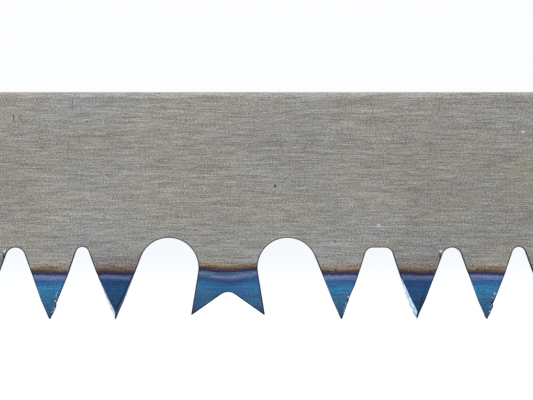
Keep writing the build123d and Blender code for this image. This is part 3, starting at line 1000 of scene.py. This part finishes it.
@dataclass
class Blade:
    """The toothed strip: outline, set, filed facets and edges. Sizes in millimetres."""

    spacing: ToothSpacing = field(default_factory=ToothSpacing)
    notch: Gullet = Gullet(0.0, 2.95, 1.3)
    wide: Gullet = Gullet(6.54, 8.92, 3.28)
    narrow: tuple[Gullet, ...] = (
        Gullet(16.63, 7.85, 0.9, 1.3),
        Gullet(24.67, 7.85, 1.08),
        Gullet(32.04, 7.93, 0.73),
    )
    point_half: float = 0.09
    blunt: float = 0.14
    shoulder_half: float = 0.98
    shoulder_height: float = 2.0
    end_clip: float = 3.0
    pin_radius: float = 3.05
    hole_from_end: float = 7.0
    bend_height: float = 5.2
    cutter_reach: float = 2.9
    jag: float = 0.02
    mean_wear: float = 0.17
    wear_swing: float = 0.06
    wear_height: float = 2.2
    wear_half: float = 1.6
    step_top: float = 4.2
    step_length: float = 2.6
    proud_share: float = 0.8
    flank_slope: float = 0.62
    flank_margin: float = 0.4
    plain_gullet: tuple[float, float, float] = (7.85, 0.9, 1.3)
    tooth_set: float = 0.26
    facet_height: float = 5.15
    lead_facets: tuple[float, ...] = (0.14, 0.14, 0.14, 0.085)
    trail_facets: tuple[float, ...] = (0.11, 0.03, 0.11, 0.11)
    widest_facet: float = 0.5
    arris: float = 0.125
    levels: tuple[float, ...] = (
        (0.25, 0.5, 0.8, 1.1, 1.4, 1.7, 2.0, 2.3, 2.6, 2.9, 3.3, 3.7, 4.1, 4.5, 4.75, 5.2, 5.6, 9.6)
    )

    def __post_init__(self) -> None:
        """Read the strip's place and size from the frame."""
        low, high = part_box("blade")
        self.left, self.right = low.x / MM, high.x / MM
        self.tips, self.back = low.z / MM, high.z / MM
        self.half = (high.y - low.y) / 2 / MM
        self.middle = (self.left + self.right) / 2
        self.finish = HardenedSteel(self.spacing, self.middle, self.tips)

    @staticmethod
    def touch(tip: Point, centre: Point, radius: float, side: int) -> float:
        """The angle on a gullet's circle where the line from a tip touches it."""
        across, up = centre[0] - tip[0], centre[1] - tip[1]
        return math.atan2(-up, -across) + side * math.acos(radius / math.hypot(across, up))

    def flank(self, tip: float, side: int) -> list[Point]:
        """A cutter's flank from its blunt point up to its shoulder.

        Args:
            tip: the place of its tip.
            side: -1 for the flank on its left, 1 for the right.

        Returns:
            The flank's two points.
        """
        return [
            (tip + side * self.point_half, 0.0),
            (tip + side * self.shoulder_half, self.shoulder_height),
        ]

    def gullet_points(
        self, left: list[Point], right: list[Point], shape: Gullet, offset: float
    ) -> list[Point]:
        """The points of one gullet, from one tooth's tip up and down to the next tooth's tip.

        Args:
            left: the flank on its left, upwards from the tip.
            right: the flank on its right, upwards from the tip.
            shape: the gullet's sizes.
            offset: the place of the raker that they are measured from.

        Returns:
            The outline's points.
        """
        height = shape.top - shape.radius
        first = (offset + shape.middle - shape.flat / 2, height)
        last = (offset + shape.middle + shape.flat / 2, height)
        rise = self.touch(left[-1], first, shape.radius, -1) % (2 * math.pi)
        fall = self.touch(right[-1], last, shape.radius, 1)
        top = math.pi / 2
        steps = 5 + round(shape.radius * 4)
        rounded = arc(first, shape.radius, rise, top, steps)
        rounded += arc(last, shape.radius, top, fall, steps)[0 if shape.flat else 1 :]
        return left + rounded + right[::-1]

    def outline(self) -> list[Point]:
        """The whole strip's outline, teeth first, then round the plain ends and the back."""
        pitch, tips = self.spacing.pitch, self.spacing.cutter_tips
        outer = self.spacing.raker_half_width - self.blunt * 0.2
        inner, lip = outer - self.blunt, self.spacing.raker_tip + self.blunt
        reach = tips[1] - tips[0]
        begin = self.middle - (self.spacing.rakers // 2 + 1) * pitch
        end = begin + self.spacing.rakers * pitch
        start_gullet = Gullet(tips[0] - reach / 2, *self.plain_gullet)
        last_gullet = Gullet(tips[3] + reach / 2, *self.plain_gullet)
        far = Gullet(pitch - self.wide.middle, self.wide.top, self.wide.radius)
        points: list[Point] = []
        before, ahead = start_gullet, [(begin + tips[0] - reach, 0.0)]
        for number in range(self.spacing.rakers + 1):
            start = begin + number * pitch
            after, last = far, [(start + pitch - outer, lip)]
            if number == self.spacing.rakers:
                after, last = last_gullet, [(end + tips[3] + reach, 0.0)]
            lefts = [ahead] + [self.flank(start + tip, 1) for tip in tips]
            rights = [self.flank(start + tip, -1) for tip in tips] + [last]
            for left, right, gap in zip(lefts, rights, (before, *self.narrow, after)):
                points += self.gullet_points(left, right, gap, start)
            if after is far:
                ahead = [(start + pitch + outer, lip)]
                fork = [[(start + pitch + side * inner, lip)] for side in (-1, 1)]
                points += self.gullet_points(*fork, self.notch, start + pitch)
                before = self.wide
        width, clip = self.back - self.tips, self.end_clip
        points += [
            (self.right - clip, 0.0),
            (self.right, clip),
            (self.right, width - clip),
            (self.right - clip, width),
            (self.left + clip, width),
            (self.left, width - clip),
            (self.left, clip),
            (self.left + clip, 0.0),
        ]
        return [(x, z + self.tips) for x, z in points]

    def cutter_at(self, x: float) -> tuple[int, float] | None:
        """Which cutter stands at a place along the blade.

        Args:
            x: the place, in millimetres.

        Returns:
            The cutter's number and its tip's place, or None at a raker or a plain end.
        """
        pitch = self.spacing.pitch
        reach = (self.spacing.rakers // 2 + 1) * pitch
        start = self.middle - reach + math.floor((x - self.middle + reach) / pitch) * pitch
        for number, tip in enumerate(self.spacing.cutter_tips):
            if abs(x - start - tip) < self.cutter_reach and start > self.middle - reach - 1.0:
                return number, start + tip
        return None

    def set_and_file(self, mesh: bpy.types.Mesh) -> None:
        """Bend the cutters to alternate sides and file their flanks.

        Args:
            mesh: the strip's mesh, with corners only along its outline.
        """
        for corner in mesh.vertices:
            height = corner.co.z / MM - self.tips
            x = corner.co.x / MM
            found = self.cutter_at(x)
            if height > self.bend_height + 0.01 or found is None:
                continue
            number, tip = found
            gap = abs(x - tip)
            if gap > self.flank_slope * height + self.flank_margin:
                continue
            front = -1 if number % 2 == 0 else 1
            lead = x < tip
            jag = self.jag * math.sin(x * 61.0) * math.sin(height * 17.0 + x * 3.0)
            if corner.co.y * front < 0:
                slope = (self.lead_facets if lead else self.trail_facets)[number]
                width = min(slope * (self.facet_height - height), self.widest_facet, 1.2 * gap)
                if width > 0.0:
                    corner.co.x += (width + jag if lead else -width) * MM
            elif not lead and number == 0:
                worn = max(0.0, 1.0 - abs(height - self.wear_height) / self.wear_half)
                corner.co.x -= (worn * self.wear(tip) + 2.0 * jag * worn) * MM
            elif not lead and number == 2:
                proud = -self.proud_share if height > 0.3 else 0.0
                stepped = (self.step_top - height) / self.step_length if height > 1.5 else proud
                stepped = max(stepped, -self.proud_share)
                corner.co.x -= stepped * self.wear(tip) * MM
            corner.co.y += front * self.tooth_set * (1.0 - height / self.bend_height) ** 1.3 * MM

    @staticmethod
    def mark_arrises(mesh: bpy.types.Mesh) -> None:
        """Weight the sharp edges between face and cut edge, and leave the filed ones keen.

        Args:
            mesh: the strip's mesh, with its materials given out.
        """
        beside: dict[tuple[int, int], list[bpy.types.MeshPolygon]] = {}
        for side in mesh.polygons:
            for key in side.edge_keys:
                beside.setdefault(key, []).append(side)
        weights = mesh.attributes.new("bevel_weight_edge", "FLOAT", "EDGE")
        for edge in mesh.edges:
            sides = beside.get(edge.key, [])
            if len(sides) == 2 and all(side.material_index != 2 for side in sides):
                first, second = (side.normal for side in sides)
                if first.dot(second) < 0.6 and abs(first.y - second.y) > 0.5:
                    weights.data[edge.index].value = 1.0

    def wear(self, tip: float) -> float:
        """How far a cutter's forward edge is worn back, which differs from tooth to tooth."""
        return self.mean_wear + self.wear_swing * math.sin(tip * 1.7)

    def build(self) -> bpy.types.Object:
        """Model and dress the blade.

        Returns:
            The finished blade.
        """
        blade = outline_piece("bow_saw_blade", self.outline(), -self.half, self.half)
        with editing(blade):
            for level in self.levels:
                bpy.ops.mesh.select_all(action="SELECT")
                bpy.ops.mesh.bisect(
                    plane_co=(0.0, 0.0, (self.tips + level) * MM), plane_no=(0.0, 0.0, 1.0)
                )
        self.set_and_file(blade.data)
        for x in (self.left + self.hole_from_end, self.right - self.hole_from_end):
            middle = (x, 0.0, (self.tips + self.back) / 2)
            cut_away(blade, bar("hole_cutter", middle, self.pin_radius, 4.0))
        for part in BladePart:
            blade.data.materials.append(self.finish.material(part))
        for side in blade.data.polygons:
            slant = abs(side.normal.y)
            side.material_index = 0 if slant > 0.9 else 1
            found = self.cutter_at(side.center.x / MM)
            # Slanted faces ahead of a cutter's tip, which face the light, take the bright filed
            # finish as a painted highlight; those behind the tip keep the face finish.
            if 0.12 < slant <= 0.9 and found:
                side.material_index = 2 if side.center.x / MM < found[1] else 0
        self.mark_arrises(blade.data)
        # The rounded arrises take the edge finish, so the blade's outline carries its painted dark
        # reflection.
        modify(
            blade,
            "BEVEL",
            width=self.arris * MM,
            segments=1,
            limit_method="WEIGHT",
            use_clamp_overlap=False,
            material=1,
        )
        smooth(blade, 20.0)
        return blade


# ---- The bow and the grip ------------------------------------------------------------------------


def rounded_oval(depth: float, thickness: float, steps: int = 16) -> list[Point]:
    """A flat-sided oval section.

    Args:
        depth: its long size, in millimetres.
        thickness: its short size.
        steps: the steps in each round end.

    Returns:
        The section's points.
    """
    radius = thickness / 2
    shift = depth / 2 - radius
    quarter = math.pi / 2
    return arc((shift, 0.0), radius, -quarter, quarter, steps) + arc(
        (-shift, 0.0), radius, quarter, 3 * quarter, steps
    )


@dataclass
class Bow:
    """The bent tube. Sizes in millimetres."""

    depth: float = 25.0
    thickness: float = 14.0
    wall: float = 1.2
    rear_bend: float = 50.0
    front_bend: float = 45.0
    rear_corner: float = 135.0
    front_corner: float = 52.0

    def build(self) -> bpy.types.Object:
        """Model the tube from its rear foot to its front foot.

        Returns:
            The finished tube.
        """
        low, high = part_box("bow_tube")
        foot = low.z / MM
        front = high.x / MM - self.depth / 2
        slope = math.atan2(self.front_corner - self.rear_corner, front)
        rear_turn = slope - math.pi / 2
        front_turn = -math.pi / 2 - slope
        rear_cut = self.rear_bend * math.tan(-rear_turn / 2)
        front_cut = self.front_bend * math.tan(-front_turn / 2)
        top = math.hypot(front, self.front_corner - self.rear_corner) - rear_cut - front_cut
        shaft = BentBar("bow", rounded_oval(self.depth, self.thickness), (0.0, foot), 90.0)
        tube = shaft.build(
            (
                (self.rear_corner - foot - rear_cut, 0.0),
                (self.rear_bend, math.degrees(rear_turn)),
                (top, 0.0),
                (self.front_bend, math.degrees(front_turn)),
                (self.front_corner - foot - front_cut, 0.0),
            )
        )
        tidy_up(tube)
        modify(tube, "SOLIDIFY", thickness=self.wall * MM, offset=-1.0)
        round_edges(tube, 0.25)
        return tube


def leg_form(name: str, reach: float, play: float) -> bpy.types.Object:
    """The bow's rear leg as a solid, to cut other pieces with.

    Args:
        name: the object's name.
        reach: how far it goes up and down, in millimetres.
        play: how much larger than the tube its section is.

    Returns:
        The closed bar.
    """
    section = rounded_oval(Bow.depth + play, Bow.thickness + play)
    leg = BentBar(name, section, (0.0, -reach), 90.0).build(((2 * reach, 0.0),))
    close_ends(leg)
    return leg


@dataclass
class Grip:
    """The moulded grip in two halves, with soft inlays. Sizes in millimetres."""

    seam: float = 0.12
    ridge: float = 0.55
    ridge_pitch: float = 17.0
    ridge_reach: float = 46.0
    hollow: float = 0.35
    end_rounding: float = 1.2
    sections: tuple[tuple[float, float, float], ...] = (
        (-52.0, 17.5, 14.0),
        (-40.0, 15.7, 12.5),
        (-14.0, 15.9, 12.9),
        (12.0, 16.2, 13.3),
        (40.0, 15.6, 12.4),
        (52.0, 17.5, 14.0),
    )
    inlay_length: float = 58.0
    inlay_width: float = 15.5
    inlay_thickness: float = 1.4
    inlay_sunk: float = 0.25
    inlay_rise: float = 0.35
    rib: float = 0.45
    rib_pitch: float = 3.6
    screw_heights: tuple[float, float] = (-39.0, 39.0)
    recess_radius: float = 4.3

    def size_at(self, height: float) -> tuple[float, float]:
        """Half of the grip's depth and of its thickness at a height."""
        for low, high in zip(self.sections, self.sections[1:]):
            if height <= high[0]:
                share = max(0.0, (height - low[0]) / (high[0] - low[0]))
                share = share * share * (3.0 - 2.0 * share)
                return tuple(low[i] + share * (high[i] - low[i]) for i in (1, 2))
        return self.sections[-1][1:]

    def surface(self, height: float, angle: float, proud: float = 0.0) -> Vector:
        """A point on the grip, with finger swells down its front.

        Args:
            height: how far above the grip's middle.
            angle: round the grip, from its front, in radians.
            proud: how far it stands out of the surface.

        Returns:
            The point, in millimetres.
        """
        deep, wide = self.size_at(height)
        front = max(0.0, math.cos(angle)) ** 2
        fade = max(0.0, 1.0 - (abs(height) / self.ridge_reach) ** 6)
        wave = math.cos(2 * math.pi * height / self.ridge_pitch + math.pi)
        swell = (self.ridge * wave - self.hollow) * front * fade
        return Vector(
            (
                (deep + swell + proud) * math.cos(angle),
                (wide + proud) * math.sin(angle),
                height,
            )
        )

    def form(self) -> bpy.types.Object:
        """The whole grip as one closed form, bored for the leg."""
        around, rings = 96, 104
        form = primitive("cylinder", vertices=around, radius=MM, depth=2 * MM)
        settle(form)
        with editing(form):
            for ring in range(1, rings):
                bpy.ops.mesh.select_all(action="SELECT")
                level = (2.0 * ring / rings - 1.0) * MM
                bpy.ops.mesh.bisect(plane_co=(0.0, 0.0, level), plane_no=(0.0, 0.0, 1.0))
        top = self.sections[-1][0]
        for corner in form.data.vertices:
            angle = math.atan2(corner.co.y, corner.co.x)
            corner.co = self.surface(corner.co.z / MM * top, angle) * MM
        tidy_up(form)
        round_edges(form, self.end_rounding, 3)
        cut_away(form, leg_form("bore", 70.0, 0.0))
        return form

    def shells(self) -> list[bpy.types.Object]:
        """Both halves, with a fine seam between them and a recess at each screw."""
        left = self.form()
        for height in self.screw_heights:
            cut_away(left, bar("recess", (0.0, 20.0, height), self.recess_radius, 19.6))
        with editing(left):
            bpy.ops.mesh.bisect(
                plane_co=(0.0, self.seam * MM, 0.0),
                plane_no=(0.0, 1.0, 0.0),
                use_fill=True,
                clear_inner=True,
            )
        tidy_up(left)
        left.name = "grip_half_left"
        right = mirrored_copy(left, "grip_half_right")
        for shell in (left, right):
            smooth(shell, 35.0)
        return [left, right]

    def inlay(self) -> bpy.types.Object:
        """The soft panel on the left, with crossed ribs moulded in it."""
        across, along = 44, 150
        half_length, half_width = self.inlay_length / 2, self.inlay_width / 2
        panel = primitive("grid", x_subdivisions=across, y_subdivisions=along, size=2.0)
        for corner in panel.data.vertices:
            height = corner.co.y * half_length
            beyond = max(0.0, abs(height) - (half_length - half_width))
            width = half_width * math.sqrt(max(0.0, 1.0 - (beyond / half_width) ** 2))
            offset = corner.co.x * width
            deep, _ = self.size_at(height)
            angle = math.pi / 2 - math.asin(offset / deep)
            edge = min(1.0, (1.0 - abs(corner.co.x)) * 4.0, (half_length - abs(height)) / 1.5)
            edge = max(0.0, edge)
            crossed = [height + offset, height - offset]
            groove = min(abs(math.sin(way * math.pi / self.rib_pitch)) for way in crossed)
            rib = self.rib * min(1.0, 2.2 * groove)
            proud = edge * (self.inlay_rise + rib) - self.inlay_sunk
            corner.co = self.surface(height, angle, proud) * MM
        panel.name = "inlay_left"
        with editing(panel):
            bpy.ops.mesh.remove_doubles(threshold=0.01 * MM)
        modify(panel, "SOLIDIFY", thickness=self.inlay_thickness * MM, offset=1.0)
        tidy_up(panel)
        smooth(panel, 40.0)
        return panel


@dataclass
class KnuckleGuard:
    """The band in front of the fingers and its two feet. Sizes in millimetres."""

    reach: float = 50.0
    heights: tuple[float, float] = (66.0, -65.0)
    bend: float = 20.0
    width: float = 14.0
    depth: float = 4.0
    corner: float = 1.2
    foot: tuple[float, float, float] = (12.5, 18.0, 16.0)
    foot_middle: float = 12.75
    foot_rounding: float = 2.6
    sunk_in_foot: float = 2.0

    def section(self) -> list[Point]:
        """The band's section: a flat strip with rounded corners."""
        half_depth, half_width = self.depth / 2, self.width / 2
        radius = self.corner
        points: list[Point] = []
        corners = ((1, 1, 0.0), (-1, 1, 0.5), (-1, -1, 1.0), (1, -1, 1.5))
        for side, end, start in corners:
            middle = (side * (half_depth - radius), end * (half_width - radius))
            points += arc(middle, radius, start * math.pi, (start + 0.5) * math.pi, 5)
        return points

    def foot_block(self, height: float) -> bpy.types.Object:
        """One foot that fits round the front of the leg."""
        block = primitive("cube", size=1.0, location=(self.foot_middle * MM, 0.0, height * MM))
        block.scale = [size * MM for size in self.foot]
        settle(block)
        modify(block, "BEVEL", width=self.foot_rounding * MM, segments=4, limit_method="ANGLE")
        return block

    def build(self) -> bpy.types.Object:
        """Model the guard as one piece.

        Returns:
            The finished guard.
        """
        top, bottom = self.heights
        start = self.foot_middle + self.sunk_in_foot
        arm = self.reach - self.bend - start
        band = BentBar("guard", self.section(), (start, top), 0.0, 20).build(
            (
                (arm, 0.0),
                (self.bend, -90.0),
                (top - bottom - 2 * self.bend, 0.0),
                (self.bend, -90.0),
                (arm, 0.0),
            )
        )
        close_ends(band)
        for height in self.heights:
            cut_away(band, self.foot_block(height), "UNION")
        cut_away(band, leg_form("leg", 90.0, 0.06))
        tidy_up(band)
        smooth(band, 38.0)
        band.name = "knuckle_bow"
        return band


# ---- Pieces that start from the frame's own solids -----------------------------------------------


def softened(node: str, name: str, width: float, segments: int = 2) -> bpy.types.Object:
    """A copy of a frame solid with its edges rounded, standing for the solid.

    Args:
        node: the frame's node.
        name: the new piece's name.
        width: the rounding in millimetres.
        segments: the steps in the rounding.

    Returns:
        The rounded piece.
    """
    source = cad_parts[node]
    piece = stand(name, source.data.copy())
    piece.data.materials.clear()
    with editing(piece):
        bpy.ops.mesh.customdata_custom_splitnormals_clear()
        bpy.ops.mesh.remove_doubles(threshold=0.002 * MM)
        bpy.ops.mesh.dissolve_limited(angle_limit=math.radians(1.0))
    round_edges(piece, width, segments)
    return piece


@dataclass(frozen=True)
class MetalWork:
    """How one pressed, cast or turned solid is finished."""

    node: str
    name: str
    body: str
    slot: str
    rounding: float
    segments: int = 2


METAL_WORK = (
    MetalWork("fork_plate_left", "fork_cheek_left", "frame", "zinc_steel", 0.35),
    MetalWork("fork_plate_right", "fork_cheek_right", "frame", "zinc_steel", 0.35),
    MetalWork("fork_rivets", "leg_rivets", "frame", "rivet_steel", 0.2),
    MetalWork("pivot_rivets", "lever_hinge_rivets", "frame", "rivet_steel", 0.2),
    MetalWork("nose_fork", "nose_casting", "frame", "cast_fork", 0.45, 3),
    MetalWork("nose_rivets", "nose_leg_rivets", "frame", "rivet_steel", 0.2),
    MetalWork("guard_screws", "guard_cross_screws", "frame", "screw_steel", 0.2),
    MetalWork("grip_screws", "grip_cross_screws", "frame", "screw_steel", 0.2),
    MetalWork("grip_nuts", "grip_lock_nuts", "frame", "screw_steel", 0.2),
    MetalWork("tension_lever", "lever_channel", "lever", "zinc_steel", 0.4),
    MetalWork("lever_pad_rivets", "pad_rivets", "lever", "rivet_steel", 0.2),
    MetalWork("link_pin", "toggle_pin", "lever", "pin_steel", 0.25),
    MetalWork("link_washers", "toggle_washers", "lever", "zinc_steel", 0.15),
    MetalWork("link_plate_left", "link_side_left", "link", "zinc_steel", 0.3),
    MetalWork("link_plate_right", "link_side_right", "link", "zinc_steel", 0.3),
    MetalWork("blade_rear_pin", "rear_cross_pin", "link", "pin_steel", 0.2),
    MetalWork("rear_pin_clip", "rear_clip_ring", "link", "clip_steel", 0.12),
    MetalWork("blade_front_pin", "front_cross_pin", "blade", "pin_steel", 0.2),
    MetalWork("front_pin_clip", "front_clip_ring", "blade", "clip_steel", 0.12),
)


class Finishes:
    """Every finish of the saw but the blade's, by the record's slot."""

    def __init__(self) -> None:
        """Make each material once."""
        bright, grey = linear(206, 206, 200), linear(150, 152, 152)
        self.by_slot = {
            "bow_enamel": Enamel("bow_enamel", linear(26, 104, 66), linear(18, 84, 54)).material(),
            "zinc_steel": PlatedSteel("zinc_plate", bright, grey, 0.34).material(),
            "rivet_steel": PlatedSteel(
                "rivet_plate", linear(196, 196, 192), linear(132, 132, 130), 0.3, (2.0, 2.0, 2.0)
            ).material(),
            "screw_steel": PlatedSteel(
                "screw_plate", linear(188, 186, 178), linear(126, 124, 118), 0.32, (2.0, 2.0, 2.0)
            ).material(),
            "pin_steel": PlatedSteel(
                "turned_pin", linear(176, 176, 178), linear(112, 112, 116), 0.26, (1.0, 8.0, 1.0)
            ).material(),
            "clip_steel": CastMetal("oiled_clip", linear(38, 38, 42)).material(),
            "cast_fork": CastMetal("phosphate_casting", linear(58, 60, 62)).material(),
            "black_plastic": MouldedPlastic("plug_plastic", linear(30, 30, 31)).material(),
            "grip_plastic": MouldedPlastic("grip_plastic", linear(34, 35, 37)).material(),
            "soft_rubber": SoftRubber("inlay_rubber", linear(62, 64, 66)).material(),
        }

    def dress(self, piece: bpy.types.Object, slot: str, body: str, *nodes: str) -> None:
        """Give a piece its finish, its body and the nodes it stands for.

        Args:
            piece: the finished piece.
            slot: the record's material slot.
            body: the body that it moves with.
            *nodes: the frame nodes that it replaces.
        """
        if slot in self.by_slot:
            piece.data.materials.clear()
            piece.data.materials.append(self.by_slot[slot])
        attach(piece, body)
        if nodes:
            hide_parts(*nodes)
        LOG.info("%s: %d faces on body %s", piece.name, len(piece.data.polygons), body)

    def dress_node(self, node: str, slot: str) -> None:
        """Give a frame node that stays in view its finish."""
        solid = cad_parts[node]
        solid.data.materials.clear()
        solid.data.materials.append(self.by_slot[slot])
        LOG.info("%s keeps its solid in finish %s", node, slot)


# ---- The stage -----------------------------------------------------------------------------------


@dataclass
class Stage:
    """Floor, light and camera. Sizes in metres."""

    floor_height: float = -0.165
    floor_size: float = 60.0
    lens: float = 200.0
    view_width: float = 0.0587
    aim_from_raker: float = 0.00424
    aim_above_tips: float = 0.0131
    sky: Colour = (0.972, 0.982, 1.0)

    def floor(self) -> None:
        """The pale floor below the saw."""
        floor = primitive("plane", size=self.floor_size, location=(0, 0, self.floor_height))
        floor.name = "studio_floor"
        floor.data.materials.append(PaleFloor().material())

    def lights(self) -> None:
        """A bright even surround with soft lamps above, before and behind the saw."""
        world = bpy.data.worlds.new("studio_sky")
        world.use_nodes = True
        world.node_tree.nodes["Background"].inputs["Color"].default_value = (*self.sky, 1.0)
        world.node_tree.nodes["Background"].inputs["Strength"].default_value = 1.0
        bpy.context.scene.world = world
        middle = (CAD_LOW + CAD_HIGH) / 2
        lamps = (
            ("key_lamp", (-0.5, -1.3, 1.5), 9.0, 1.0),
            ("rear_lamp", (1.2, 1.4, 1.3), 9.0, 1.2),
        )
        for name, place, power, size in lamps:
            data = bpy.data.lights.new(name, "AREA")
            data.energy = power
            data.size = size
            lamp = stand(name, data)
            lamp.location = place
            lamp.rotation_euler = (middle - Vector(place)).to_track_quat("-Z", "Y").to_euler()

    def camera(self, blade: Blade) -> None:
        """Face the blade squarely, close in on the middle raker."""
        data = bpy.data.cameras.new("camera")
        data.lens = self.lens
        data.sensor_width = 36.0
        data.dof.use_dof = False
        camera = stand("camera", data)
        distance = data.lens * self.view_width / data.sensor_width + blade.half * MM
        camera.location = (
            blade.middle * MM + self.aim_from_raker,
            -distance,
            blade.tips * MM + self.aim_above_tips,
        )
        camera.rotation_euler = (math.pi / 2, 0.0, 0.0)
        data.clip_start = 0.01
        data.clip_end = 200.0
        bpy.context.scene.camera = camera
        bpy.context.scene.view_settings.view_transform = "Standard"


def main() -> None:
    """Model, dress and light the saw."""
    logging.basicConfig(level=logging.INFO, format="%(message)s")
    finishes = Finishes()
    blade = Blade()
    finishes.dress(blade.build(), "blade_steel", "blade", "blade")
    finishes.dress(Bow().build(), "bow_enamel", "frame", "bow_tube")
    grip = Grip()
    left, right = grip.shells()
    finishes.dress(left, "grip_plastic", "frame", "grip_shell_left")
    finishes.dress(right, "grip_plastic", "frame", "grip_shell_right")
    inlay = grip.inlay()
    twin = mirrored_copy(inlay, "inlay_right")
    finishes.dress(inlay, "soft_rubber", "frame", "grip_inlay_left")
    finishes.dress(twin, "soft_rubber", "frame", "grip_inlay_right")
    finishes.dress(KnuckleGuard().build(), "grip_plastic", "frame", "knuckle_guard")
    pad = softened("lever_pad", "lever_cover", 0.8, 3)
    finishes.dress(pad, "grip_plastic", "lever", "lever_pad")
    buffer = softened("lever_buffer", "rubber_stop", 0.5, 3)
    finishes.dress(buffer, "soft_rubber", "lever", "lever_buffer")
    for work in METAL_WORK:
        piece = softened(work.node, work.name, work.rounding, work.segments)
        finishes.dress(piece, work.slot, work.body, work.node)
    finishes.dress_node("leg_plug", "black_plastic")
    stage = Stage()
    stage.floor()
    stage.lights()
    stage.camera(blade)


if __name__ == "__main__":
    main()
